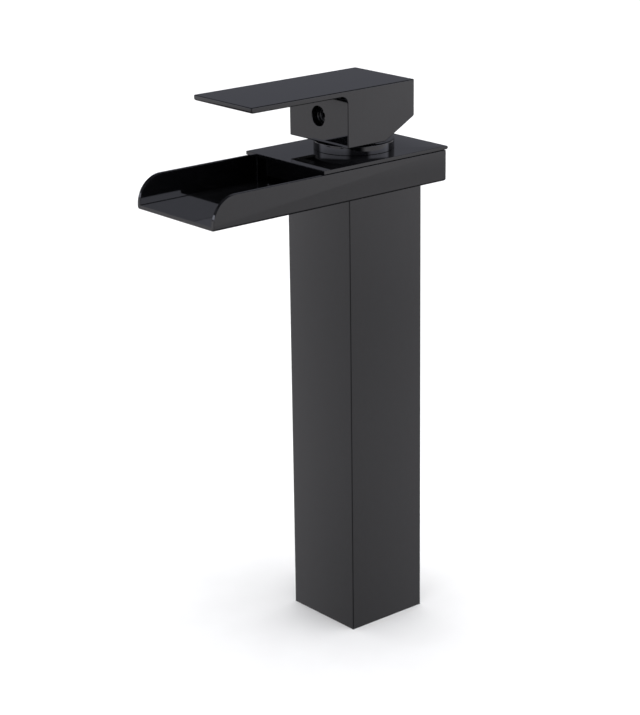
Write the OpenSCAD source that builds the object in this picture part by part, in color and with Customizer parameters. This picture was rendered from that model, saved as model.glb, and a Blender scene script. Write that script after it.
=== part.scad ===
// Single-lever waterfall basin faucet. A square column carries an open trough, and a
// ceramic cartridge under the flat lever sets the flow and the mix.
// The origin is the centre of the column's foot, on the deck. The spout points along -Y.

/* [Column] */
// Outside width of the square column
column_w = 50; // [49:0.5:58]
// Height of the column, from the deck to the underside of the trough
column_h = 243; // [160:0.5:320]
// Wall of the column
column_wall = 2; // [1.5:0.25:2.5]
// Radius of the column's upright outer edges
column_edge_r = 0.8; // [0.4:0.1:1.4]
// Thickness of the web inside the foot that the foot block is drawn up against
web_t = 4; // [3:0.5:8]

/* [Foot] */
// Height of the brass foot block inside the column
foot_block_h = 18; // [17:0.5:24]
// Thickness of the rubber pad under the foot block
pad_t = 2; // [1.5:0.25:4]
// Depth of the two hose ports
port_depth = 9; // [8:0.5:9.5]
// Radius of the hose ports' thread, M10 x 1 at its core
port_r = 4.5; // [4:0.1:4.8]
// Radius of the mounting stud's thread, M8 at its core
stud_r = 3.4; // [2.6:0.1:4.2]
// Distance of the stud hole behind the column's axis
stud_back = 12; // [11:0.5:14]
// Depth of the stud hole
stud_depth = 14; // [10:0.5:16]

/* [Trough] */
// Outside width of the trough and of its cover
trough_w = 63.2; // [62:0.2:80]
// Distance from the column's axis to the lip
trough_reach = 117; // [100:0.5:150]
// Distance from the column's axis to the back of the trough
trough_back = 36.5; // [33:0.5:42]
// Height of the trough's walls, from its underside
trough_h = 16.5; // [15.5:0.25:19]
// Thickness of the trough's walls
trough_wall = 2; // [1.5:0.25:2.5]
// Thickness of the trough's floor
floor_t = 2; // [1.5:0.25:2.5]
// Radius of the curve that takes the side walls down to the lip
lip_curve_r = 15; // [10:0.5:15.5]
// Radius along the bottom of the back wall
heel_r = 1.5; // [0.5:0.25:2]

/* [Cover] */
// Thickness of the cover plate
cover_t = 2.2; // [2:0.2:3]
// Distance from the column's axis to the cover's front edge
cover_front = 47; // [44:0.2:60]
// Overhang of the cover past the trough's back wall
cover_overhang = 1.4; // [1.2:0.2:5]

/* [Bonnet] */
// Outside diameter of the round bonnet under the handle
bonnet_d = 42.5; // [42.5:0.25:48]
// Height of the bonnet above the cover
bonnet_h = 5; // [5:0.1:5.2]
// Radius of the rounded rim on the bonnet
bonnet_rim_r = 0.8; // [0.4:0.1:1.2]

/* [Handle] */
// Width of the lever and of its hub
handle_w = 46.8; // [40:0.2:52]
// Distance from the pivot to the lever's tip
lever_reach = 86; // [70:0.2:110]
// Thickness of the lever
lever_t = 3; // [2.6:0.1:4]
// Gap between the cover and the underside of the hub
hub_lift = 6.4; // [6.4:0.1:9]
// Height of the hub, up to the top of the lever
hub_h = 29.8; // [27:0.2:36]
// Distance from the pivot to the hub's front face
hub_front = 24; // [23:0.2:28]
// Distance from the pivot to the hub's back face
hub_back = 21.8; // [18:0.2:26]
// Height of the slanted cut under the back of the hub
hub_cut_h = 11; // [9.8:0.1:12]
// Radius of the fillet under the lever, where it meets the hub
hub_fillet_r = 4; // [2:0.25:6]
// Diameter of the screw recess in the hub's front face
recess_d = 10.2; // [8:0.2:11]
// Height of the set screw above the underside of the hub
screw_rise = 13.4; // [12:0.1:14]
// Angle that the lever lifts through, from shut to full flow
lift_angle = 25; // [15:1:25]

/* [Cartridge] */
// Diameter of the cartridge's housing
cartridge_d = 34.6; // [34:0.1:35]
// Height of the pivot pin above the cartridge's seat
pivot_h = 25; // [24.4:0.1:27]
// Height of the pivot pin above the cover
pivot_rise = 2.1; // [1.9:0.1:2.2]
// Diameter of the pivot pin
pin_d = 3; // [2:0.25:3.5]
// Thickness of the cartridge's base
cartridge_base_t = 4.5; // [4:0.1:4.9]
// Thickness of the fixed ceramic disc
fixed_disc_t = 3.5; // [3:0.1:3.9]
// Thickness of the moving ceramic disc
moving_disc_t = 3.2; // [2.8:0.1:3.6]
// Side of the square stem
stem_w = 8; // [6:0.25:8]
// Diameter of the two inlets through the cartridge
inlet_d = 5.4; // [4:0.1:5.4]
// Sideways distance of each inlet from the column's axis
inlet_x = 7; // [6.6:0.1:7]
// Distance of the inlets in front of the column's axis
inlet_front = 4.6; // [4.4:0.1:4.8]
// Diameter of the outlet through the cartridge
outlet_d = 7.2; // [5:0.1:7.6]
// Distance of the outlet behind the column's axis
outlet_back = 6.5; // [6:0.1:7]

/* [Waterways] */
// Outside diameter of the riser tubes
riser_d = 8; // [7:0.25:8]
// Wall of the riser tubes
riser_wall = 1; // [0.5:0.1:1.2]
// Width of the outlet slot that feeds the trough
slot_w = 24; // [16:0.5:26]
// Height of the outlet slot's mouth
slot_h = 3; // [2:0.25:3.5]
// Distance of the weir behind the cover's front edge
weir_back = 10.6; // [9:0.2:11]
// Thickness of the weir's sheet
weir_t = 1.2; // [0.8:0.1:1.5]

/* [Hidden] */

// Roundness of turned surfaces, and of the small ones
$fn = 96;
small_fn = 48;
// Overrun of every cut past the face it opens
cut = 1;
// Clearances: a seated round piece, a threaded pair, a turning fit and a piece that moves past another
slip_gap = 0.05;
thread_gap = 0.05;
turn_gap = 0.1;
move_gap = 0.3;

// Column and foot
inner_w = column_w - 2 * column_wall;
inner_r = 1;
web_z = pad_t + foot_block_h;
pad_gap = 0.3;
port_lead_r = 6;
stud_lead_r = 5;

// Tie rods: M5 socket screws
rod_r = 2.5;
rod_clear_r = 2.75;
rod_head_r = 4.25;
rod_head_h = 5;
rod_head_well_r = 4.6;
rod_head_inset = 0.2;
rod_washer_t = 1;
rod_margin = 5.5;
rod_bite = 10;
rod_hole_spare = 2;
rod_hex_w = 4;
rod_hex_depth = 2.5;
rod_x = inner_w / 2 - rod_margin;
rod_head_z = pad_t + rod_head_inset;
rod_washer_z = rod_head_z + rod_head_h;

// Levels of the trough and of the cover
floor_z = column_h + floor_t;
cover_z = column_h + trough_h;
cover_top = cover_z + cover_t;
trough_inner_w = trough_w - 2 * trough_wall;

// Levels of the handle
hub_z = cover_top + hub_lift;
lever_top = hub_z + hub_h;
lever_z = lever_top - lever_t;
screw_z = hub_z + screw_rise;

// Levels of the cartridge, from its seat up to the pivot
pivot_z = cover_top + pivot_rise;
seat_z = pivot_z - pivot_h;
fixed_disc_z = seat_z + cartridge_base_t;
moving_disc_z = fixed_disc_z + fixed_disc_t;
carrier_z = moving_disc_z + moving_disc_t;
ball_r = 2.6;
ball_rise = ball_r + move_gap;
ball_z = carrier_z + ball_rise;
ball_arm = pivot_z - ball_z;
disc_travel = ball_arm * sin(lift_angle);
disc_shut_y = disc_travel / 2;

// Cartridge housing
housing_r = cartridge_d / 2;
housing_wall = 1.7;
housing_inner_r = housing_r - housing_wall;
base_flange_t = 2;
shoulder_t = 2.7;
shoulder_drop = 3.5;
shoulder_top = pivot_z - shoulder_drop;
collar_r = 13.6;
collar_bore_r = 11.9;
collar_rise = 2.6;
collar_top = pivot_z + collar_rise;
clip_w = 6;
clip_h = 1.2;
clip_reach = 1.1;
clip_rise = 0.8;
key_r = 1;
key_h = 1.2;

// Discs and the carrier that pushes the moving one
fixed_disc_r = 13.8;
moving_disc_r = 12.8;
carrier_r = 12;
carrier_t = 4.4;
key_x = fixed_disc_r;
peg_r = 1.2;
peg_h = 1.2;
peg_x = 9;
pocket_w = 10.4;
pocket_depth = 1.6;
pocket_front = 0.3;
pocket_back = 11.5;
seal_width = 1.2;
seal_h = 1;

// Stem carrier: the turning flange, its neck and the two rails that guide the disc carrier
flange_r = 15.2;
flange_t = 2.6;
flange_play = 0.2;
flange_z = shoulder_top - shoulder_t - flange_play - flange_t;
neck_r = collar_bore_r - turn_gap;
neck_rise = 2.9;
neck_top = pivot_z + neck_rise;
stem_slot_l = 15.2;
stem_side_gap = 0.15;
rail_x = 8.5;
rail_w = 2;
rail_l = 16;
rail_drop = 1.6;

// Stem: eye, blade and ball below the pivot, square shank above it
pin_r = pin_d / 2;
pin_l = 21;
blade_t = 3.4;
shank_rise = 26;
shank_top = pivot_z + shank_rise;

// Valve body
block_play = 0.1;
block_w = inner_w - 2 * block_play;
block_below_seat = 19;
block_z = seat_z - block_below_seat;
gasket_t = 1;
body_flange_z = floor_z + gasket_t;
body_hole_w = inner_w + 2 * block_play;
body_flange_w = (body_hole_w + trough_inner_w) / 2;
body_flange_t = 6;
body_flange_r = 2;
gasket_rim = 1.8;
gasket_w = body_hole_w + 2 * gasket_rim;
body_neck_r = 20;
body_neck_rise = 1;
body_neck_top = pivot_z + body_neck_rise;
bore_r = housing_r + turn_gap;
nut_r = 18.6;
nut_seat_gap = 0.2;
riser_r = riser_d / 2;
socket_r = riser_r + slip_gap;
socket_depth = 8;
socket_end_gap = 0.5;
o_ring_t = 1;
o_ring_r = riser_r + o_ring_t;
o_ring_groove_r = o_ring_r + o_ring_t + slip_gap;
o_ring_groove_h = 2.5;
o_ring_groove_in = 2.5;
channel_w = 6;
channel_h = 7;
channel_drop = 9.5;
slot_wall = 1.6;
slot_t = 2.5;
slot_mouth_rise = 1.5;
channel_z = seat_z - channel_drop;
slot_front = block_w / 2 - slot_wall;
slot_mouth_z = body_flange_z + slot_mouth_rise;

// Riser tubes
foot_socket_depth = 7;
riser_bottom = web_z - foot_socket_depth + socket_end_gap;
riser_top = block_z + socket_depth - socket_end_gap;

// Cartridge nut
nut_h = 4.8;
nut_bore_r = 14;
nut_notch_w = 4;
nut_notch_depth = 1.8;
nut_notches = 4;

// Bonnet
bonnet_r = bonnet_d / 2;
bonnet_wall = 1.4;
bonnet_mouth_r = 14.6;
bonnet_bore_r = body_neck_r + thread_gap;
cover_hole_r = body_neck_r + 4 * slip_gap;

// Cover plate
cover_edge_r = cover_t / 2;
rib_w = 1.5;
rib_h = 2.5;
rib_l = 50;
rib_play = 0.3;

// Weir plate
weir_gap = 2;
weir_top_gap = 1;
weir_tab_l = 6;
weir_y = -cover_front + weir_back;
weir_top = cover_z - weir_top_gap;

// Handle hub
hub_wall = 5.5;
hub_cut_front = 1.4;
core_sill = 8.2;
stem_boss_w = 15;
stem_socket_gap = 0.1;
stem_socket_spare = 0.6;
rib_round_r = 5.6;
recess_depth = 3.6;
recess_cone = 0.4;
screw_r = 2.5;
screw_tip_gap = 0.1;
screw_hex_w = 2.5;
screw_hex_depth = 3;
lever_nose = 0.8;

// Colours of the metals, plastics, rubber and ceramic
black = "#3c3d40";
brass = "#c8a560";
copper = "#c07a50";
steel = "#a9abae";
rubber = "#222222";
nylon = "#d8d8d2";
grey_plastic = "#7f8489";
ceramic = "#efece4";

// A box given by its low and high corners
module block(low, high) {
    translate(low)
    cube(high - low);
}

// An upright cylinder from one level to another
module post(r, bottom, top) {
    translate([0, 0, bottom])
    cylinder(r = r, h = top - bottom);
}

// An upright tube from one level to another
module tube(r, bore, bottom, top) {
    difference() {
        post(r, bottom, top);
        post(bore, bottom - cut, top + cut);
    }
}

// A square with round corners, about the origin
module rounded_square(w, r) {
    union() {
        square([w, w - 2 * r], center = true);
        square([w - 2 * r, w], center = true);
        for (x = [-1, 1]) for (y = [-1, 1]) {
            translate([x * (w / 2 - r), y * (w / 2 - r)])
            circle(r = r, $fn = small_fn);
        }
    }
}

// An upright square bar with round corners
module square_post(w, r, bottom, top) {
    translate([0, 0, bottom])
    linear_extrude(top - bottom)
    rounded_square(w, r);
}

// What a round cut of radius r takes off a corner that points along +X and +Y
module corner_waste(r) {
    translate([-r, -r])
    difference() {
        square(r + cut);
        circle(r = r);
    }
}

// A side profile, drawn as Y across and Z up, made into a bar of width w about X = 0
module side_bar(w) {
    rotate([90, 0, 90])
    translate([0, 0, -w / 2])
    linear_extrude(w)
    children();
}

// Places a piece at both inlets
module at_inlets() {
    for (side = [-1, 1]) {
        translate([side * inlet_x, -inlet_front, 0])
        children();
    }
}

// Places a piece at both tie rods
module at_rods() {
    for (side = [-1, 1]) {
        translate([side * rod_x, 0, 0])
        children();
    }
}

// Three waterways straight through a piece of the cartridge
module cartridge_ports(bottom, top) {
    at_inlets() post(inlet_d / 2, bottom - cut, top + cut);
    translate([0, outlet_back, 0])
    post(outlet_d / 2, bottom - cut, top + cut);
}

// A ring seal, or the recess it lies in, around each of the three waterways
module ring_seals(bottom, grow) {
    at_inlets()
    tube(inlet_d / 2 + seal_width + grow, inlet_d / 2 + slip_gap - grow, bottom, bottom + seal_h);
    translate([0, outlet_back, 0])
    tube(outlet_d / 2 + seal_width + grow, outlet_d / 2 + slip_gap - grow, bottom, bottom + seal_h);
}

// Square tube with round edges and a web near its foot
module column_shell() {
    color(black)
    difference() {
        square_post(column_w, column_edge_r, 0, column_h);
        square_post(inner_w, inner_r, -cut, web_z);
        square_post(inner_w, inner_r, web_z + web_t, column_h + cut);
        at_inlets() post(socket_r + slip_gap, 0, column_h);
        at_rods() post(rod_clear_r, 0, column_h);
    }
}

// Brass block that holds the hose ports, the stud and the lower ends of the risers
module foot_block() {
    riser_socket_z = web_z - foot_socket_depth;
    groove_z = web_z - o_ring_groove_in - o_ring_groove_h;
    color(brass)
    difference() {
        square_post(block_w, inner_r, pad_t, web_z);
        at_inlets() {
            post(port_r, pad_t - cut, pad_t + port_depth);
            post(riser_r - riser_wall, pad_t, web_z);
            post(socket_r, riser_socket_z, web_z + cut);
            post(o_ring_groove_r, groove_z, groove_z + o_ring_groove_h);
        }
        at_rods() {
            post(rod_head_well_r, pad_t - cut, rod_washer_z + rod_washer_t);
            post(rod_clear_r, pad_t, web_z + cut);
        }
        translate([0, stud_back, 0])
        post(stud_r, pad_t - cut, pad_t + stud_depth);
    }
}

// Rubber pad under the foot block, level with the column's rim
module foot_pad() {
    color(rubber)
    difference() {
        square_post(block_w - 2 * pad_gap, inner_r, 0, pad_t);
        at_inlets() post(port_lead_r, -cut, pad_t + cut);
        translate([0, stud_back, 0])
        post(stud_lead_r, -cut, pad_t + cut);
    }
}

// Long screws that draw the foot block and the valve body together through the column
module tie_rods() {
    color(steel)
    at_rods()
    difference() {
        union() {
            post(rod_head_r, rod_head_z, rod_head_z + rod_head_h);
            post(rod_r, rod_head_z, block_z + rod_bite);
        }
        translate([0, 0, rod_head_z - cut])
        cylinder(r = rod_hex_w / sqrt(3), h = rod_hex_depth + cut, $fn = 6);
    }
}

module tie_rod_washers() {
    color(steel)
    at_rods()
    tube(rod_head_r, rod_clear_r, rod_washer_z, rod_washer_z + rod_washer_t);
}

// Copper tube from the foot block up to the valve body
module riser_tube() {
    tube(riser_r, riser_r - riser_wall, riser_bottom, riser_top);
}

module hot_riser_tube() {
    color(copper)
    translate([-inlet_x, -inlet_front, 0])
    riser_tube();
}

module cold_riser_tube() {
    color(copper)
    translate([inlet_x, -inlet_front, 0])
    riser_tube();
}

// Seals at both ends of both riser tubes
module riser_o_rings() {
    low_z = web_z - o_ring_groove_in - o_ring_groove_h / 2;
    high_z = block_z + o_ring_groove_in + o_ring_groove_h / 2;
    color(rubber)
    at_inlets()
    for (level = [low_z, high_z]) {
        translate([0, 0, level])
        rotate_extrude()
        translate([o_ring_r + slip_gap / 2, 0])
        circle(r = o_ring_t - slip_gap / 2, $fn = small_fn);
    }
}

// Waterways and screw holes inside the valve body
module valve_body_cuts() {
    post(bore_r, seat_z, body_neck_top + cut);
    post(nut_r + thread_gap, shoulder_top - nut_seat_gap, body_neck_top + cut);
    at_inlets() {
        post(inlet_d / 2, block_z, seat_z + cut);
        post(socket_r, block_z - cut, block_z + socket_depth);
        post(o_ring_groove_r, block_z + o_ring_groove_in, block_z + o_ring_groove_in + o_ring_groove_h);
    }
    translate([0, outlet_back, 0])
    post(outlet_d / 2, channel_z, seat_z + cut);
    block(
        [-channel_w / 2, -slot_front, channel_z],
        [channel_w / 2, outlet_back + outlet_d / 2, channel_z + channel_h]
    );
    block(
        [-slot_w / 2, -slot_front, channel_z],
        [slot_w / 2, -slot_front + slot_t, slot_mouth_z + slot_h]
    );
    block(
        [-slot_w / 2, -body_flange_w / 2 - cut, slot_mouth_z],
        [slot_w / 2, -slot_front + slot_t, slot_mouth_z + slot_h]
    );
    at_rods() post(rod_r + thread_gap, block_z - cut, block_z + rod_bite + rod_hole_spare);
}

// Brass casting: a block inside the column, a flange on the trough's floor and a threaded neck
module valve_body() {
    color(brass)
    difference() {
        union() {
            square_post(block_w, inner_r, block_z, body_flange_z);
            square_post(body_flange_w, body_flange_r, body_flange_z, body_flange_z + body_flange_t);
            post(body_neck_r, body_flange_z, body_neck_top);
        }
        valve_body_cuts();
    }
}

// Flat gasket between the trough's floor and the valve body
module trough_gasket() {
    color(rubber)
    difference() {
        square_post(gasket_w, body_flange_r, floor_z, floor_z + gasket_t);
        square_post(body_hole_w, inner_r, floor_z - cut, floor_z + gasket_t + cut);
    }
}

// Side profile of the trough: the front of the wall curves down to the lip, the heel is rounded
module trough_profile() {
    difference() {
        translate([-trough_reach, column_h])
        square([trough_reach + trough_back, trough_h]);
        translate([-trough_reach, cover_z])
        mirror([1, 0])
        corner_waste(lip_curve_r);
        translate([trough_back, column_h])
        mirror([0, 1])
        corner_waste(heel_r);
    }
}

// Open trough with a square hole for the valve body
module spout_trough() {
    color(black)
    difference() {
        side_bar(trough_w) trough_profile();
        block(
            [-trough_inner_w / 2, -trough_reach - cut, floor_z],
            [trough_inner_w / 2, trough_back - trough_wall, cover_z + cut]
        );
        square_post(body_hole_w, inner_r, column_h - cut, floor_z + cut);
    }
}

// Sheet across the trough that lets the water out in an even film beneath it
module weir_plate() {
    half = trough_inner_w / 2;
    color(black)
    difference() {
        block([-half, weir_y - weir_tab_l, floor_z], [half, weir_y + weir_t, weir_top]);
        block(
            [-half + weir_t, weir_y - weir_tab_l - cut, floor_z - cut],
            [half - weir_t, weir_y, weir_top + cut]
        );
        block(
            [-half + weir_t, weir_y - cut, floor_z - cut],
            [half - weir_t, weir_y + weir_t + cut, floor_z + weir_gap]
        );
    }
}

// Side profile of the cover, with a rounded back edge
module cover_profile() {
    cover_back = trough_back + cover_overhang;
    difference() {
        translate([-cover_front, cover_z])
        square([cover_front + cover_back, cover_t]);
        translate([cover_back, cover_top])
        corner_waste(cover_edge_r);
        translate([cover_back, cover_z])
        mirror([0, 1])
        corner_waste(cover_edge_r);
    }
}

// Flat cover over the back of the trough, with two ribs that keep it square
module cover_plate() {
    rib_out = trough_inner_w / 2 - rib_play;
    color(black)
    difference() {
        union() {
            side_bar(trough_w) cover_profile();
            for (side = [-1, 1]) {
                translate([side * (rib_out - rib_w / 2), 0, cover_z - rib_h / 2 + slip_gap])
                cube([rib_w, rib_l, rib_h + 2 * slip_gap], center = true);
            }
        }
        post(cover_hole_r, cover_z - rib_h - cut, cover_top + cut);
    }
}

// Threaded ring that clamps the cover and hides the cartridge
module bonnet() {
    color(black)
    translate([0, 0, cover_top])
    rotate_extrude()
    difference() {
        square([bonnet_r, bonnet_h]);
        square([bonnet_mouth_r, bonnet_h]);
        square([bonnet_bore_r, bonnet_h - bonnet_wall]);
        translate([bonnet_r, bonnet_h])
        corner_waste(bonnet_rim_r);
    }
}

// Ring nut with driver notches that holds the cartridge down
module cartridge_nut() {
    top = shoulder_top + nut_h;
    color(brass)
    difference() {
        tube(nut_r, nut_bore_r, shoulder_top, top);
        for (turn = [0 : nut_notches - 1]) {
            rotate(turn * 360 / nut_notches)
            block(
                [0, -nut_notch_w / 2, top - nut_notch_depth],
                [nut_r + cut, nut_notch_w / 2, top + cut]
            );
        }
    }
}

// Clip lugs on the cartridge's base, or the windows they snap into
module clip_lugs(grow) {
    lug_z = seat_z + base_flange_t + clip_rise;
    reach = housing_inner_r - slip_gap + clip_reach + grow;
    block(
        [-reach, -clip_w / 2 - grow, lug_z - grow],
        [reach, clip_w / 2 + grow, lug_z + clip_h + grow]
    );
}

// Plastic housing with the shoulder that the nut presses on
module cartridge_housing() {
    skirt_z = seat_z + base_flange_t;
    color(grey_plastic)
    difference() {
        union() {
            post(housing_r, skirt_z, shoulder_top);
            post(collar_r, skirt_z, collar_top);
        }
        post(housing_inner_r, skirt_z - cut, shoulder_top - shoulder_t);
        post(collar_bore_r, skirt_z, collar_top + cut);
        clip_lugs(slip_gap);
    }
}

// Plastic base: flange, spigot, clip lugs and the two keys that stop the fixed disc
module cartridge_base() {
    spigot_r = housing_inner_r - slip_gap;
    color(nylon)
    difference() {
        union() {
            post(housing_r, seat_z, seat_z + base_flange_t);
            post(spigot_r, seat_z, fixed_disc_z);
            clip_lugs(0);
            for (side = [-1, 1]) {
                translate([side * key_x, 0, 0])
                post(key_r, seat_z, fixed_disc_z + key_h);
            }
        }
        cartridge_ports(seat_z, fixed_disc_z);
        ring_seals(seat_z, slip_gap);
        ring_seals(fixed_disc_z - seal_h, slip_gap);
    }
}

// Rubber seals between the cartridge's base and the valve body
module port_seals() {
    color(rubber)
    ring_seals(seat_z, 0);
}

// Rubber seals between the cartridge's base and the fixed disc
module disc_seals() {
    color(rubber)
    ring_seals(fixed_disc_z - seal_h, 0);
}

module fixed_disc() {
    color(ceramic)
    difference() {
        post(fixed_disc_r, fixed_disc_z, moving_disc_z);
        cartridge_ports(fixed_disc_z, moving_disc_z);
        for (side = [-1, 1]) {
            translate([side * key_x, 0, 0])
            post(key_r + slip_gap, fixed_disc_z - cut, fixed_disc_z + key_h + slip_gap);
        }
    }
}

// Lapped disc whose pocket joins the inlets to the outlet when it slides forward
module moving_disc() {
    pocket_top = moving_disc_z + pocket_depth;
    color(ceramic)
    difference() {
        translate([0, disc_shut_y, 0])
        post(moving_disc_r, moving_disc_z, carrier_z);
        block(
            [-pocket_w / 2, -pocket_front, moving_disc_z - cut],
            [pocket_w / 2, pocket_back - pocket_w / 2, pocket_top]
        );
        translate([0, pocket_back - pocket_w / 2, 0])
        post(pocket_w / 2, moving_disc_z - cut, pocket_top);
        for (side = [-1, 1]) {
            translate([side * peg_x, disc_shut_y, 0])
            post(peg_r + slip_gap, carrier_z - peg_h - slip_gap, carrier_z + cut);
        }
    }
}

// Plastic slide on the moving disc, with a socket for the stem's ball
module disc_carrier() {
    top = carrier_z + carrier_t;
    socket_x = stem_w / 2 + move_gap;
    socket_y = ball_r + move_gap;
    groove_w = rail_w + 2 * move_gap;
    color(nylon)
    difference() {
        union() {
            translate([0, disc_shut_y, 0])
            post(carrier_r, carrier_z, top);
            for (side = [-1, 1]) {
                translate([side * peg_x, disc_shut_y, 0])
                post(peg_r, carrier_z - peg_h, top);
            }
        }
        block([-socket_x, -socket_y, carrier_z - cut], [socket_x, socket_y, top + cut]);
        for (side = [-1, 1]) {
            translate([side * rail_x, disc_shut_y, top])
            cube([groove_w, 2 * carrier_r + cut, 2 * (rail_drop + move_gap)], center = true);
        }
    }
}

// Turning piece that carries the stem on its pin
module stem_carrier() {
    slot_x = stem_w / 2 + stem_side_gap;
    color(nylon)
    difference() {
        union() {
            post(flange_r, flange_z, flange_z + flange_t);
            post(neck_r, flange_z, neck_top);
            for (side = [-1, 1]) {
                translate([side * rail_x - rail_w / 2, -rail_l / 2, flange_z - rail_drop])
                cube([rail_w, rail_l, rail_drop + flange_t]);
            }
        }
        block([-slot_x, -stem_slot_l / 2, flange_z - cut], [slot_x, stem_slot_l / 2, neck_top + cut]);
        translate([0, 0, pivot_z])
        rotate([0, 90, 0])
        cylinder(r = pin_r + slip_gap, h = 2 * neck_r, center = true);
    }
}

module pivot_pin() {
    color(steel)
    translate([0, 0, pivot_z])
    rotate([0, 90, 0])
    cylinder(r = pin_r, h = pin_l, center = true);
}

// Lever of the cartridge: ball and blade below the pin, square shank above it
module stem() {
    color(brass)
    difference() {
        union() {
            translate([0, 0, pivot_z])
            rotate([0, 90, 0])
            cylinder(r = stem_w / 2, h = stem_w, center = true);
            translate([0, 0, ball_z])
            rotate([0, 90, 0])
            cylinder(r = ball_r, h = stem_w, center = true);
            block([-stem_w / 2, -blade_t / 2, ball_z], [stem_w / 2, blade_t / 2, pivot_z]);
            block([-stem_w / 2, -stem_w / 2, pivot_z], [stem_w / 2, stem_w / 2, shank_top]);
        }
        translate([0, 0, pivot_z])
        rotate([0, 90, 0])
        cylinder(r = pin_r + slip_gap, h = stem_w + 2 * cut, center = true);
    }
}

// Side profile of the handle: flat lever, hub, slanted cut and the fillet between them
module handle_profile() {
    difference() {
        union() {
            translate([-lever_reach, lever_z])
            square([lever_reach + hub_back, lever_t]);
            polygon([
                [-hub_front, hub_z],
                [hub_cut_front, hub_z],
                [hub_back, hub_z + hub_cut_h],
                [hub_back, lever_top],
                [-hub_front, lever_top]
            ]);
            translate([-hub_front - hub_fillet_r, lever_z - hub_fillet_r])
            difference() {
                square(hub_fillet_r + lever_nose);
                circle(r = hub_fillet_r);
            }
        }
        polygon([
            [-lever_reach - cut, lever_z - cut],
            [-lever_reach + lever_nose, lever_z - cut],
            [-lever_reach + lever_nose, lever_z],
            [-lever_reach, lever_z + lever_nose],
            [-lever_reach - cut, lever_z + lever_nose]
        ]);
    }
}

// Side profile of the core that makes the hub hollow
module hub_core_profile() {
    core_top = lever_top - hub_wall;
    slant = hub_cut_h / (hub_back - hub_cut_front);
    core_back = hub_back - hub_wall;
    polygon([
        [-hub_front + hub_wall, hub_z - cut],
        [-hub_front + hub_wall, core_top],
        [core_back, core_top],
        [core_back, hub_z + (core_back + core_sill) * slant],
        [-core_sill, hub_z],
        [-core_sill, hub_z - cut]
    ]);
}

// Lever and hub in one casting, hollow around the boss that grips the stem
module lever_handle() {
    socket_half = stem_w / 2 + stem_socket_gap;
    color(black)
    difference() {
        side_bar(handle_w) handle_profile();
        difference() {
            side_bar(handle_w - 2 * hub_wall) hub_core_profile();
            block(
                [-stem_boss_w / 2, -stem_boss_w / 2, hub_z],
                [stem_boss_w / 2, stem_boss_w / 2, lever_top]
            );
            translate([0, 0, screw_z])
            rotate([90, 0, 0])
            cylinder(r = rib_round_r, h = hub_front);
        }
        block(
            [-socket_half, -socket_half, hub_z - cut],
            [socket_half, socket_half, shank_top + stem_socket_spare]
        );
        translate([0, -hub_front, screw_z])
        rotate([-90, 0, 0]) {
            cylinder(r = screw_r + thread_gap, h = hub_front);
            translate([0, 0, -cut])
            cylinder(r = recess_d / 2, h = recess_depth + cut);
            translate([0, 0, recess_depth])
            cylinder(r1 = recess_d / 2, r2 = screw_r + thread_gap, h = recess_cone);
        }
    }
}

// Grub screw that clamps the handle to the stem, with a hexagon socket
module handle_set_screw() {
    tip_y = -stem_w / 2 - screw_tip_gap;
    head_y = -hub_front + recess_depth + recess_cone;
    color(steel)
    translate([0, head_y, screw_z])
    rotate([-90, 0, 0])
    difference() {
        cylinder(r = screw_r, h = tip_y - head_y);
        translate([0, 0, -cut])
        cylinder(r = screw_hex_w / sqrt(3), h = screw_hex_depth + cut, $fn = 6);
    }
}

column_shell();
foot_block();
foot_pad();
tie_rods();
tie_rod_washers();
hot_riser_tube();
cold_riser_tube();
riser_o_rings();
valve_body();
trough_gasket();
spout_trough();
weir_plate();
cover_plate();
bonnet();
cartridge_nut();
cartridge_housing();
cartridge_base();
port_seals();
disc_seals();
fixed_disc();
moving_disc();
disc_carrier();
stem_carrier();
pivot_pin();
stem();
lever_handle();
handle_set_screw();
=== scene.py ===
"""Looks of a tall single-lever basin faucet with an open trough, in gloss black."""

import math

import bmesh
import bpy
from mathutils import Euler, Matrix, Vector


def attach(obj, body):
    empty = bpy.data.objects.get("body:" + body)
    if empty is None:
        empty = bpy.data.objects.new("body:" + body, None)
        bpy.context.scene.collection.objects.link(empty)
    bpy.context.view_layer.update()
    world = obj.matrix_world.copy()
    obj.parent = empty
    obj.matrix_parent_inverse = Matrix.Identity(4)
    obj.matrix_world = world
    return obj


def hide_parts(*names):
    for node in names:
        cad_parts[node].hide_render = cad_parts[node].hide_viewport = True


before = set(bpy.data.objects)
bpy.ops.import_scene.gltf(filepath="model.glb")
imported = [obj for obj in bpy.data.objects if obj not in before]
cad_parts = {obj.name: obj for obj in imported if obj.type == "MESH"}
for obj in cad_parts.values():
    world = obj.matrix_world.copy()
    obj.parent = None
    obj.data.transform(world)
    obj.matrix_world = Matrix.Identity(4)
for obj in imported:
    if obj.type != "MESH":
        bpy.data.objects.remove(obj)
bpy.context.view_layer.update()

# The column is a square brass tube, cut to length and ground flat at both ends.
# It is polished, primed and sprayed gloss black, and stands on the deck by its rim.
mm = 0.001
column_w, column_h, column_wall, column_edge_r = 50, 243, 2, 0.8
# Places within a hair, in millimetres, count as one. The span is where a grain's tones change.
hair, aligned, skin_span = 0.1, 0.999, (0.3, 0.7)


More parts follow.
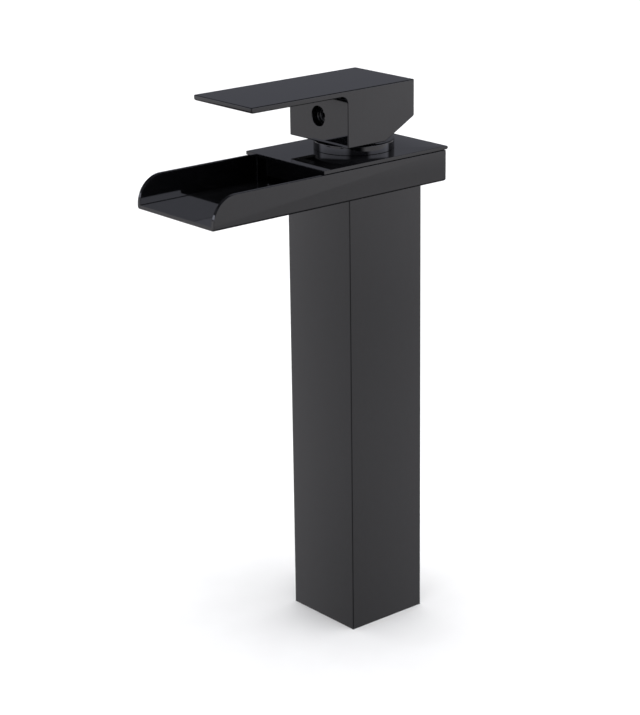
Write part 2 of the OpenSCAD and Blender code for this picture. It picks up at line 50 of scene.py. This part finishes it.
def finish_of(
    name, dark, light, rough, grain, stretch=(1, 1, 1), bump=0.02, depth=0.05, detail=4, **sockets
):
    """A finish whose colour, roughness and skin vary a little with the same fine grain."""
    material = bpy.data.materials.new(name)
    material.use_nodes = True
    nodes, links = material.node_tree.nodes, material.node_tree.links
    shader = nodes["Principled BSDF"]
    for socket, value in sockets.items():
        shader.inputs[socket.replace("_", " ")].default_value = value
    where = nodes.new("ShaderNodeTexCoord")
    turn = nodes.new("ShaderNodeMapping")
    turn.inputs["Scale"].default_value = stretch
    skin = nodes.new("ShaderNodeTexNoise")
    skin.inputs["Scale"].default_value = grain
    skin.inputs["Detail"].default_value = detail
    tone = nodes.new("ShaderNodeValToRGB")
    for stop, place, colour in zip(tone.color_ramp.elements, skin_span, (dark, light)):
        stop.position, stop.color = place, (*colour, 1)
    polish = nodes.new("ShaderNodeMapRange")
    polish.inputs["From Min"].default_value, polish.inputs["From Max"].default_value = skin_span
    polish.inputs["To Min"].default_value, polish.inputs["To Max"].default_value = rough
    relief = nodes.new("ShaderNodeBump")
    relief.inputs["Strength"].default_value = bump
    relief.inputs["Distance"].default_value = depth * mm
    links.new(where.outputs["Object"], turn.inputs["Vector"])
    links.new(turn.outputs["Vector"], skin.inputs["Vector"])
    links.new(skin.outputs["Fac"], tone.inputs["Fac"])
    links.new(skin.outputs["Fac"], polish.inputs["Value"])
    links.new(skin.outputs["Fac"], relief.inputs["Height"])
    links.new(tone.outputs["Color"], shader.inputs["Base Color"])
    links.new(polish.outputs["Result"], shader.inputs["Roughness"])
    links.new(relief.outputs["Normal"], shader.inputs["Normal"])
    return material


def block(bm, low, high):
    """Adds a box between two corners given in millimetres."""
    low, high = Vector(low) * mm, Vector(high) * mm
    place = Matrix.Translation((low + high) / 2) @ Matrix.Diagonal((*(high - low), 1))
    bmesh.ops.create_cube(bm, size=1, matrix=place)


def edges_along(bm, axis, test):
    """The edges that run along one axis and whose middle, in millimetres, passes the test."""
    found = []
    for edge in bm.edges:
        way = (edge.verts[1].co - edge.verts[0].co).normalized()
        middle = (edge.verts[0].co + edge.verts[1].co) / 2 / mm
        if abs(way[axis]) > aligned and test(middle):
            found.append(edge)
    return found


def round_edges(bm, edges, radius, steps):
    """Rounds edges to a radius given in millimetres."""
    bmesh.ops.bevel(
        bm, geom=edges, offset=radius * mm, offset_type="OFFSET", segments=steps,
        profile=0.5, affect="EDGES", material=-1, clamp_overlap=True,
    )


def in_order(bm):
    """Sorts the parts by place, along a way on which none tie, since extrusions shuffle them."""
    askew = Vector((1, math.e, math.pi ** 2))
    bm.verts.sort(key=lambda vert: vert.co.dot(askew))
    bm.edges.sort(key=lambda edge: (edge.verts[0].co + edge.verts[1].co).dot(askew))
    bm.faces.sort(key=lambda face: face.calc_center_median().dot(askew))


def as_piece(name, bm, finish, edge, steps=3):
    """Closes a bmesh into a piece with fine broken edges that catch the light."""
    bmesh.ops.remove_doubles(bm, verts=bm.verts, dist=hair / 100 * mm)
    bmesh.ops.recalc_face_normals(bm, faces=bm.faces)
    if bm.calc_volume(signed=True) < 0:
        bmesh.ops.reverse_faces(bm, faces=bm.faces)
    in_order(bm)
    mesh = bpy.data.meshes.new(name)
    bm.to_mesh(mesh)
    bm.free()
    mesh.shade_smooth()
    mesh.materials.append(finish)
    made = bpy.data.objects.new(name, mesh)
    bpy.context.scene.collection.objects.link(made)
    broken = made.modifiers.new("broken_edges", "BEVEL")
    broken.width, broken.segments = edge * mm, steps
    broken.limit_method, broken.angle_limit = "ANGLE", math.radians(35)
    broken.harden_normals = True
    return made


gloss_black = finish_of(
    "gloss_black", (0.0032, 0.0033, 0.0038), (0.0044, 0.0045, 0.0052), (0.02, 0.04), 260,
    bump=0.05, depth=0.003, IOR=1.5,
)
bm = bmesh.new()
half = column_w / 2
block(bm, (-half, -half, 0), (half, half, column_h))
ends = [face for face in bm.faces if abs(face.normal.z) > 0.5]
bmesh.ops.delete(bm, geom=ends, context="FACES_ONLY")
round_edges(bm, edges_along(bm, 2, lambda at: True), column_edge_r, 5)
bmesh.ops.solidify(bm, geom=bm.faces[:], thickness=column_wall * mm)
column = as_piece("column", bm, gloss_black, edge=0.18)
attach(column, "root")
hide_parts("column_shell")

# The foot block is a sawn brass bar with the two hose ports and the stud hole drilled from below.
# A punched rubber pad lies under it, level with the column's rim, and keeps water off the deck.
sawn_brass = finish_of(
    "sawn_brass", (0.52, 0.36, 0.15), (0.66, 0.48, 0.22), (0.22, 0.4), 900,
    stretch=(1, 12, 1), bump=0.25, depth=0.03, Metallic=1,
)
pad_rubber = finish_of(
    "pad_rubber", (0.012, 0.012, 0.012), (0.025, 0.025, 0.026), (0.6, 0.8), 1500, bump=0.3, depth=0.04,
)


def dress(node, finish):
    """Gives a solid that keeps its own shape its finish."""
    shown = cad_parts[node]
    shown.data.materials.clear()
    shown.data.materials.append(finish)


dress("foot_block", sawn_brass)
dress("foot_pad", pad_rubber)

# The two risers are drawn copper tubes that carry hot and cold water up the column.
# Each is a push fit in both sockets and is sealed there by a moulded rubber ring.
drawn_copper = finish_of(
    "drawn_copper", (0.62, 0.27, 0.15), (0.75, 0.36, 0.21), (0.2, 0.36), 500,
    stretch=(1, 1, 0.06), bump=0.2, depth=0.02, Metallic=1,
)
ring_rubber = finish_of(
    "ring_rubber", (0.01, 0.01, 0.01), (0.02, 0.02, 0.02), (0.35, 0.5), 2200, bump=0.15, depth=0.02,
)
dress("hot_riser_tube", drawn_copper)
dress("cold_riser_tube", drawn_copper)
dress("riser_o_rings", ring_rubber)

# Two long screws draw the foot block and the valve body together through the column.
# They are rolled steel with a bright zinc plate, and so are the washers under their heads.
zinc_plate = finish_of(
    "zinc_plate", (0.42, 0.44, 0.47), (0.6, 0.61, 0.62), (0.25, 0.42), 260,
    bump=0.1, depth=0.02, Metallic=1,
)
dress("tie_rods", zinc_plate)
dress("tie_rod_washers", zinc_plate)

# The valve body is a brass casting, shot-blasted outside and turned at its neck and bores.
# It hangs in the top of the column and clamps the trough's floor over a flat gasket.
cast_brass = finish_of(
    "cast_brass", (0.46, 0.32, 0.14), (0.6, 0.44, 0.21), (0.38, 0.55), 1300,
    bump=0.4, depth=0.06, Metallic=1,
)
dress("valve_body", cast_brass)

# The trough is bent and soldered from brass sheet, with a square hole that fits over the column.
# Its side walls are cut in a curve down to the lip, and it is sprayed black inside and out.
trough_w, trough_reach, trough_back, trough_h, trough_wall, floor_t = 63.2, 117, 36.5, 16.5, 2, 2
lip_curve_r, sole_r, hole_w = 14.5, 1.2, 46.2


def cut_along(bm, axis, places, wanted=lambda face: True):
    """Cuts the wanted faces along planes across one axis, at places given in millimetres."""
    normal = Vector([float(k == axis) for k in range(3)])
    for place in places:
        faces = [face for face in bm.faces if wanted(face)]
        edges = list(dict.fromkeys(edge for face in faces for edge in face.edges))
        verts = list(dict.fromkeys(vert for face in faces for vert in face.verts))
        at = normal * place * mm
        bmesh.ops.bisect_plane(bm, geom=verts + edges + faces, plane_co=at, plane_no=normal)


def faces_at(bm, axis, place, test):
    """The faces across one axis at a place whose middle, in millimetres, passes the test."""
    found = []
    for face in bm.faces:
        middle = face.calc_center_median() / mm
        if abs(face.normal[axis]) > aligned and abs(middle[axis] - place) < hair / 10 and test(middle):
            found.append(face)
    return found


inner = trough_w / 2 - trough_wall
back_inner = trough_back - trough_wall
floor_top, trough_top = column_h + floor_t, column_h + trough_h
bm = bmesh.new()
block(bm, (-trough_w / 2, -trough_reach, column_h), (trough_w / 2, trough_back, floor_top))
cut_along(bm, 0, (-inner, -hole_w / 2, hole_w / 2, inner))
cut_along(bm, 1, (-hole_w / 2, hole_w / 2, back_inner))
bm.normal_update()
rims = faces_at(bm, 2, floor_top, lambda at: abs(at.x) > inner or at.y > back_inner)
raised = bmesh.ops.extrude_face_region(bm, geom=rims)
lifted = [part for part in raised["geom"] if isinstance(part, bmesh.types.BMVert)]
bmesh.ops.translate(bm, verts=lifted, vec=(0, 0, (trough_top - floor_top) * mm))
bmesh.ops.delete(bm, geom=rims, context="FACES_ONLY")
bm.normal_update()
holes = []
for level in (floor_top, column_h):
    holes += faces_at(bm, 2, level, lambda at: abs(at.x) < hole_w / 2 and abs(at.y) < hole_w / 2)
sides = [edge for face in holes for edge in face.edges]
bmesh.ops.delete(bm, geom=holes, context="FACES_ONLY")
bmesh.ops.bridge_loops(bm, edges=sides)
in_order(bm)
bmesh.ops.dissolve_limit(bm, angle_limit=math.radians(1), verts=bm.verts[:], edges=bm.edges[:])
fronts = edges_along(bm, 0, lambda at: at.y < -trough_reach + hair and at.z > trough_top - hair)
round_edges(bm, fronts, lip_curve_r, 28)
soles = edges_along(bm, 0, lambda at: at.y > trough_back - hair and at.z < column_h + hair)
soles += edges_along(bm, 1, lambda at: abs(at.x) > trough_w / 2 - hair and at.z < column_h + hair)
round_edges(bm, soles, sole_r, 5)
trough = as_piece("trough", bm, gloss_black, edge=0.28)
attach(trough, "root")
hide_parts("spout_trough")
dress("trough_gasket", pad_rubber)

# The weir is a strip of brass sheet soldered across the trough by two bent tabs.
# Water leaves the valve behind it and runs out beneath it as an even film.
weir_y, weir_t, weir_tab, weir_bend_r, weir_gap, weir_top_gap = -36.4, 1.2, 6, 1.2, 2, 1
bm = bmesh.new()
block(bm, (-inner, weir_y, floor_top + weir_gap), (inner, weir_y + weir_t, trough_top - weir_top_gap))
bend_x = inner - weir_t
cut_along(bm, 0, (-bend_x, bend_x))
bm.normal_update()
for way, level in ((1, weir_y), (2, floor_top + weir_gap)):
    tabs = faces_at(bm, way, level, lambda at: abs(at.x) > bend_x)
    grown = bmesh.ops.extrude_face_region(bm, geom=tabs)
    moved = [part for part in grown["geom"] if isinstance(part, bmesh.types.BMVert)]
    reach = (0, -weir_tab * mm, 0) if way == 1 else (0, 0, -weir_gap * mm)
    bmesh.ops.translate(bm, verts=moved, vec=reach)
    bmesh.ops.delete(bm, geom=tabs, context="FACES_ONLY")
    bm.normal_update()
bends = edges_along(bm, 2, lambda at: abs(abs(at.x) - bend_x) < hair and abs(at.y - weir_y) < hair)
round_edges(bm, bends, weir_bend_r, 8)
weir = as_piece("weir", bm, gloss_black, edge=0.15, steps=2)
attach(weir, "root")
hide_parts("weir_plate")

# The cover is a milled brass plate, flush with the trough's sides and round along its back edge.
# It lies in a fine rebate on the walls. Two ribs keep it square, and the bonnet clamps it down.
cover_t, cover_front, cover_back, cover_hole_r = 2.2, 47, 37.9, 20.2
seam_h, seam_in = 0.3, 1.3
rib_w, rib_h, rib_l, rib_play = 1.5, 2.5, 50, 0.3


def open_round(bm, face, middle, radius, steps):
    """Opens a round hole in a four-sided face, and returns the edges around it."""
    border = face.edges[:]
    bmesh.ops.subdivide_edges(bm, edges=border, cuts=steps // 4 - 1)
    face = next(grown for grown in bm.faces if len(grown.verts) == steps and border[0] in grown.edges)
    bmesh.ops.inset_individual(bm, faces=[face], thickness=hair * mm, use_even_offset=True)
    loops = face.loops[:]
    first = next(k for k, loop in enumerate(loops) if loop.calc_angle() < math.radians(115))
    corner = loops[first].vert.co
    before, after = loops[first - 1].vert.co, loops[(first + 1) % steps].vert.co
    outward = ((corner - before).normalized() + (corner - after).normalized()).normalized()
    normal = face.normal.copy()
    for k in range(steps):
        turned = Matrix.Rotation(math.tau * k / steps, 3, normal) @ outward
        loops[(first + k) % steps].vert.co = (Vector(middle) + turned * radius) * mm
    ring = face.edges[:]
    bmesh.ops.delete(bm, geom=[face], context="FACES_ONLY")
    return ring


cover_top = trough_top + cover_t
bm = bmesh.new()
block(bm, (-trough_w / 2, -cover_front, trough_top + seam_h), (trough_w / 2, cover_back, cover_top))
bm.normal_update()
upper = faces_at(bm, 2, cover_top, lambda at: True)[0]
above = open_round(bm, upper, (0, 0, cover_top), cover_hole_r, 96)
lower = faces_at(bm, 2, trough_top + seam_h, lambda at: True)[0]
bmesh.ops.inset_individual(bm, faces=[lower], thickness=seam_in * mm, use_even_offset=True)
seat = bmesh.ops.extrude_discrete_faces(bm, faces=[lower])["faces"][0]
bmesh.ops.translate(bm, verts=seat.verts, vec=(0, 0, -seam_h * mm))
below = open_round(bm, seat, (0, 0, trough_top), cover_hole_r, 96)
bmesh.ops.bridge_loops(bm, edges=above + below)
nose_r = (cover_t - seam_h) / 2 - hair / 5
round_edges(bm, edges_along(bm, 0, lambda at: at.y > cover_back - hair), nose_r, 6)
rib_x = inner - rib_play - rib_w
for side in (-1, 1):
    near, far = sorted((side * rib_x, side * (rib_x + rib_w)))
    block(bm, (near, -rib_l / 2, trough_top - rib_h), (far, rib_l / 2, trough_top))
cover = as_piece("cover", bm, gloss_black, edge=0.15)
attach(cover, "root")
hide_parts("cover_plate")

# The bonnet is a ring turned from brass bar, threaded inside, with a rounded rim.
# It screws onto the valve's neck, clamps the cover and hides the cartridge.
bonnet_r, bonnet_h, bonnet_rim_r = 21.25, 5, 0.8
bonnet_wall, bonnet_mouth_r, bonnet_bore_r = 1.4, 14.6, 20.05
bm = bmesh.new()
outline = [
    (bonnet_bore_r, 0), (bonnet_r, 0), (bonnet_r, bonnet_h), (bonnet_mouth_r, bonnet_h),
    (bonnet_mouth_r, bonnet_h - bonnet_wall), (bonnet_bore_r, bonnet_h - bonnet_wall),
]
bm.faces.new([bm.verts.new((r * mm, 0, (cover_top + z) * mm)) for r, z in outline])
corner = Vector((bonnet_r, 0, cover_top + bonnet_h))
rim = [vert for vert in bm.verts if (vert.co / mm - corner).length < hair]
bmesh.ops.bevel(
    bm, geom=rim, offset=bonnet_rim_r * mm, offset_type="OFFSET", segments=6,
    profile=0.5, affect="VERTICES", material=-1,
)
bmesh.ops.spin(
    bm, geom=bm.faces[:] + bm.edges[:] + bm.verts[:], cent=(0, 0, 0), axis=(0, 0, 1), dvec=(0, 0, 0),
    angle=math.tau, steps=128, use_merge=True, use_normal_flip=False,
)
flats = [face for face in bm.faces if len(face.verts) > 4]
bmesh.ops.delete(bm, geom=flats, context="FACES_ONLY")
bonnet = as_piece("bonnet_ring", bm, gloss_black, edge=0.2)
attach(bonnet, "root")
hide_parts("bonnet")

# The cartridge is a bought-in unit: two lapped ceramic discs between plastic mouldings.
# A turned brass ring nut holds it down on its seat in the valve body.
turned_brass = finish_of(
    "turned_brass", (0.55, 0.39, 0.17), (0.68, 0.5, 0.24), (0.18, 0.32), 700, stretch=(1, 1, 8),
    bump=0.15, depth=0.02, Metallic=1,
)
grey_moulding = finish_of(
    "grey_moulding", (0.1, 0.11, 0.12), (0.14, 0.15, 0.16), (0.38, 0.5), 1100, bump=0.12, depth=0.02,
)
white_moulding = finish_of(
    "white_moulding", (0.6, 0.6, 0.57), (0.68, 0.68, 0.65), (0.35, 0.48), 1100, bump=0.12, depth=0.02,
    Subsurface_Weight=0.05,
)
lapped_ceramic = finish_of(
    "lapped_ceramic", (0.72, 0.7, 0.65), (0.8, 0.78, 0.74), (0.08, 0.16), 2600, bump=0.05, depth=0.005,
)
ground_steel = finish_of(
    "ground_steel", (0.5, 0.5, 0.52), (0.62, 0.62, 0.63), (0.15, 0.28), 800, stretch=(0.1, 1, 1),
    bump=0.1, depth=0.01, Metallic=1,
)
dress("cartridge_nut", turned_brass)
dress("cartridge_housing", grey_moulding)
for node in ("cartridge_base", "disc_carrier", "stem_carrier"):
    dress(node, white_moulding)
for node in ("port_seals", "disc_seals"):
    dress(node, ring_rubber)
for node in ("fixed_disc", "moving_disc"):
    dress(node, lapped_ceramic)
dress("pivot_pin", ground_steel)
dress("stem", turned_brass)

# The handle is one zinc casting: a flat lever on a square hub, with a fillet under the lever.
# The hub is cored from below around the boss that grips the stem, and is sprayed gloss black.
handle_w, lever_reach, lever_t, lever_nose, tip_r, back_r = 46.8, 86, 3, 0.8, 0.8, 1.2
hub_lift, hub_h, hub_front, hub_back = 6.4, 29.8, 24, 21.8
hub_cut_front, hub_cut_h, hub_fillet_r, hub_wall, core_sill = 1.4, 11, 4, 5.5, 8.2
recess_r, recess_depth, recess_cone, screw_r, screw_rise = 5.1, 3.6, 0.4, 2.55, 13.4
socket_half, socket_top = 4.1, 290.4
hub_z = cover_top + hub_lift
lever_top = hub_z + hub_h
lever_z, screw_z = lever_top - lever_t, hub_z + screw_rise
bm = bmesh.new()
outline = [
    (-lever_reach, lever_z + lever_nose), (-lever_reach + lever_nose, lever_z), (-hub_front, lever_z),
    (-hub_front, hub_z), (hub_cut_front, hub_z), (hub_back, hub_z + hub_cut_h),
    (hub_back, lever_top), (-lever_reach, lever_top),
]
bm.faces.new([bm.verts.new((-handle_w / 2 * mm, y * mm, z * mm)) for y, z in outline])
corner = Vector((-handle_w / 2, -hub_front, lever_z))
throat = [vert for vert in bm.verts if (vert.co / mm - corner).length < hair]
bmesh.ops.bevel(
    bm, geom=throat, offset=hub_fillet_r * mm, offset_type="OFFSET", segments=12,
    profile=0.5, affect="VERTICES", material=-1,
)
drawn = bmesh.ops.extrude_face_region(bm, geom=bm.faces[:])
moved = [part for part in drawn["geom"] if isinstance(part, bmesh.types.BMVert)]
bmesh.ops.translate(bm, verts=moved, vec=(handle_w * mm, 0, 0))
bmesh.ops.recalc_face_normals(bm, faces=bm.faces)
tips = []
for edge in bm.edges:
    one, other = edge.verts[0].co / mm, edge.verts[1].co / mm
    if max(one.y, other.y) < -lever_reach + lever_nose + hair and abs(one.x - other.x) < hair:
        tips.append(edge)
round_edges(bm, tips, tip_r, 5)
round_edges(bm, edges_along(bm, 2, lambda at: at.y > hub_back - hair), back_r, 5)
bm.normal_update()
face = faces_at(bm, 1, -hub_front, lambda at: at.z > hub_z)[0]
ring = open_round(bm, face, (0, -hub_front, screw_z), recess_r, 64)
for shrink, deeper in ((1, recess_depth), (screw_r / recess_r, recess_cone), (1, hub_wall)):
    drawn = bmesh.ops.extrude_edge_only(bm, edges=ring)
    ring = [part for part in drawn["geom"] if isinstance(part, bmesh.types.BMEdge)]
    verts = [part for part in drawn["geom"] if isinstance(part, bmesh.types.BMVert)]
    middle = sum((vert.co for vert in verts), Vector()) / len(verts)
    bmesh.ops.scale(bm, verts=verts, vec=(shrink, 1, shrink), space=Matrix.Translation(-middle))
    bmesh.ops.translate(bm, verts=verts, vec=(0, deeper * mm, 0))
bm.normal_update()
hollow_x, hollow_y = handle_w / 2 - hub_wall, hub_front - hub_wall


def underside(face):
    """Whether a face belongs to the hub's underside."""
    level = face.normal.z < -0.5 and abs(face.normal.x) < hair / 10
    return level and face.calc_center_median().y > -hub_front * mm


cut_along(bm, 0, (-hollow_x, -socket_half, socket_half, hollow_x), underside)
cut_along(bm, 1, (-hollow_y, -core_sill, -socket_half, socket_half), underside)
bottoms = [(face, face.calc_center_median() / mm) for face in bm.faces if underside(face)]
core = [face for face, at in bottoms if abs(at.x) < hollow_x and -hollow_y < at.y < -core_sill]
socket = [face for face, at in bottoms if abs(at.x) < socket_half and abs(at.y) < socket_half]
for mouth, top in ((core, lever_top - hub_wall), (socket, socket_top)):
    drawn = bmesh.ops.extrude_face_region(bm, geom=mouth)
    for part in drawn["geom"]:
        if isinstance(part, bmesh.types.BMVert):
            part.co.z = top * mm
    bmesh.ops.delete(bm, geom=mouth, context="FACES_ONLY")
handle = as_piece("handle", bm, gloss_black, edge=0.54)
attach(handle, "lever")
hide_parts("lever_handle")

# The set screw clamps the handle to the stem from the bottom of the recess.
# It is hardened steel, blackened in oil, with a hexagon socket for a key.
black_oxide = finish_of(
    "black_oxide", (0.008, 0.008, 0.009), (0.014, 0.014, 0.016), (0.06, 0.12), 1800,
    bump=0.1, depth=0.005, IOR=1.6,
)
dress("handle_set_screw", black_oxide)

# The studio is a pale floor under a wide soft sun overhead, which no gloss shows.
# White card stands low all round with a gap for the camera, two soft boxes stand above it left
# and right, and it is dark overhead, so the broken edges read as fine dark and light lines.
floor_half, sun_angle, sun_light = 8, 60, 4.6
bm = bmesh.new()
bmesh.ops.create_grid(bm, x_segments=1, y_segments=1, size=floor_half)
mesh = bpy.data.meshes.new("floor")
bm.to_mesh(mesh)
bm.free()
floor = bpy.data.objects.new("floor", mesh)
bpy.context.scene.collection.objects.link(floor)
pale_floor = finish_of("pale_floor", (0.8, 0.8, 0.8), (0.82, 0.82, 0.82), (0.55, 0.65), 40)
floor.data.materials.append(pale_floor)
floor.visible_glossy = False

lamp = bpy.data.lights.new("overhead", "SUN")
lamp.angle, lamp.energy = math.radians(sun_angle), sun_light
overhead = bpy.data.objects.new("overhead", lamp)
overhead.visible_glossy = False
bpy.context.scene.collection.objects.link(overhead)

world = bpy.data.worlds.new("white_card")
world.use_nodes = True
bpy.context.scene.world = world
nodes, links = world.node_tree.nodes, world.node_tree.links


def join(value, socket):
    """Sets a socket to a number, or links another node's output to it."""
    if isinstance(value, (int, float)):
        socket.default_value = value
    else:
        links.new(value, socket)


def card(value, low, high, start, stop):
    """A soft step from one brightness to another while a value goes from low to high."""
    node = nodes.new("ShaderNodeMapRange")
    node.interpolation_type = "SMOOTHSTEP"
    names = ("Value", "From Min", "From Max", "To Min", "To Max")
    for name, entry in zip(names, (value, low, high, start, stop)):
        join(entry, node.inputs[name])
    return node.outputs["Result"]


ray = nodes.new("ShaderNodeTexCoord").outputs["Generated"]
parts = nodes.new("ShaderNodeSeparateXYZ")
links.new(ray, parts.inputs[0])
height = parts.outputs["Z"]
flat = nodes.new("ShaderNodeVectorMath")
flat.operation = "MULTIPLY"
links.new(ray, flat.inputs[0])
flat.inputs[1].default_value = (1, 1, 0)
level = nodes.new("ShaderNodeVectorMath")
level.operation = "NORMALIZE"
links.new(flat.outputs[0], level.inputs[0])


def towards(degrees):
    """How far a ray points towards a compass direction, from -1 to 1."""
    node = nodes.new("ShaderNodeVectorMath")
    node.operation = "DOT_PRODUCT"
    links.new(level.outputs[0], node.inputs[0])
    turn = math.radians(degrees)
    node.inputs[1].default_value = (math.cos(turn), math.sin(turn), 0)
    return node.outputs["Value"]


left_low, left_light, right_low, right_light = 0.8, 0.95, 0.88, 1.24
far_light, ground_light, sky_light, zenith_light = 0.04, 0.06, 0.18, 0.03
left_box_light, right_box_light = 2.4, 3
right_way, far_way, gap_way, left_box_way, right_box_way = 40, 140, -36, -104, 38
left_card = card(height, -0.31, -0.18, left_low, left_light)
right_card = card(height, -0.31, -0.18, right_low, right_light)
cards = card(towards(right_way), -0.3, 0.3, left_card, right_card)
around = card(towards(far_way), 0.72, 0.9, cards, far_light)
gap = card(towards(gap_way), 0.86, 0.985, around, 0.0)
lower = card(height, -0.62, -0.34, ground_light, gap)
left_box = card(towards(left_box_way), 0.55, 0.8, sky_light, left_box_light)
boxes = card(towards(right_box_way), 0.74, 0.9, left_box, right_box_light)
risen = card(height, 0.05, 0.12, sky_light, boxes)
upper = card(height, 0.26, 0.29, risen, sky_light)
both = card(height, 0.0, 0.07, lower, upper)
seen = card(height, 0.44, 0.58, both, zenith_light)
low_tint, high_tint, backdrop = (1.0, 0.985, 1.03), (0.93, 0.95, 1.1), (1, 1, 1)
cool = nodes.new("ShaderNodeMix")
cool.data_type = "RGBA"
links.new(card(height, 0.0, 0.1, 0, 1), cool.inputs[0])
cool.inputs[6].default_value = (*low_tint, 1)
cool.inputs[7].default_value = (*high_tint, 1)
tint = nodes.new("ShaderNodeVectorMath")
tint.operation = "SCALE"
links.new(cool.outputs[2], tint.inputs[0])
links.new(seen, tint.inputs["Scale"])
pick = nodes.new("ShaderNodeMix")
pick.data_type = "RGBA"
links.new(nodes.new("ShaderNodeLightPath").outputs["Is Camera Ray"], pick.inputs[0])
links.new(tint.outputs[0], pick.inputs[6])
pick.inputs[7].default_value = (*backdrop, 1)
links.new(pick.outputs[2], nodes["Background"].inputs["Color"])

# The camera stands at the front right, a little above the lever, behind a long lens.
# Its place, its turn and its lens were solved from the photograph's straight edges.
picture_w, lens_px, sensor_w = 640, 2081.769, 36
camera_at, camera_turn = (0.808612, -0.700112, 0.502226), (71.5562, 0.7665, 49.8921)
lens = bpy.data.cameras.new("camera")
lens.sensor_width, lens.sensor_fit = sensor_w, "HORIZONTAL"
lens.lens = lens_px / picture_w * sensor_w
lens.clip_start, lens.clip_end = 0.05, 50
camera = bpy.data.objects.new("camera", lens)
camera.location = camera_at
camera.rotation_euler = Euler([math.radians(degrees) for degrees in camera_turn])
bpy.context.scene.collection.objects.link(camera)
bpy.context.scene.camera = camera
bpy.context.scene.view_settings.view_transform = "Standard"
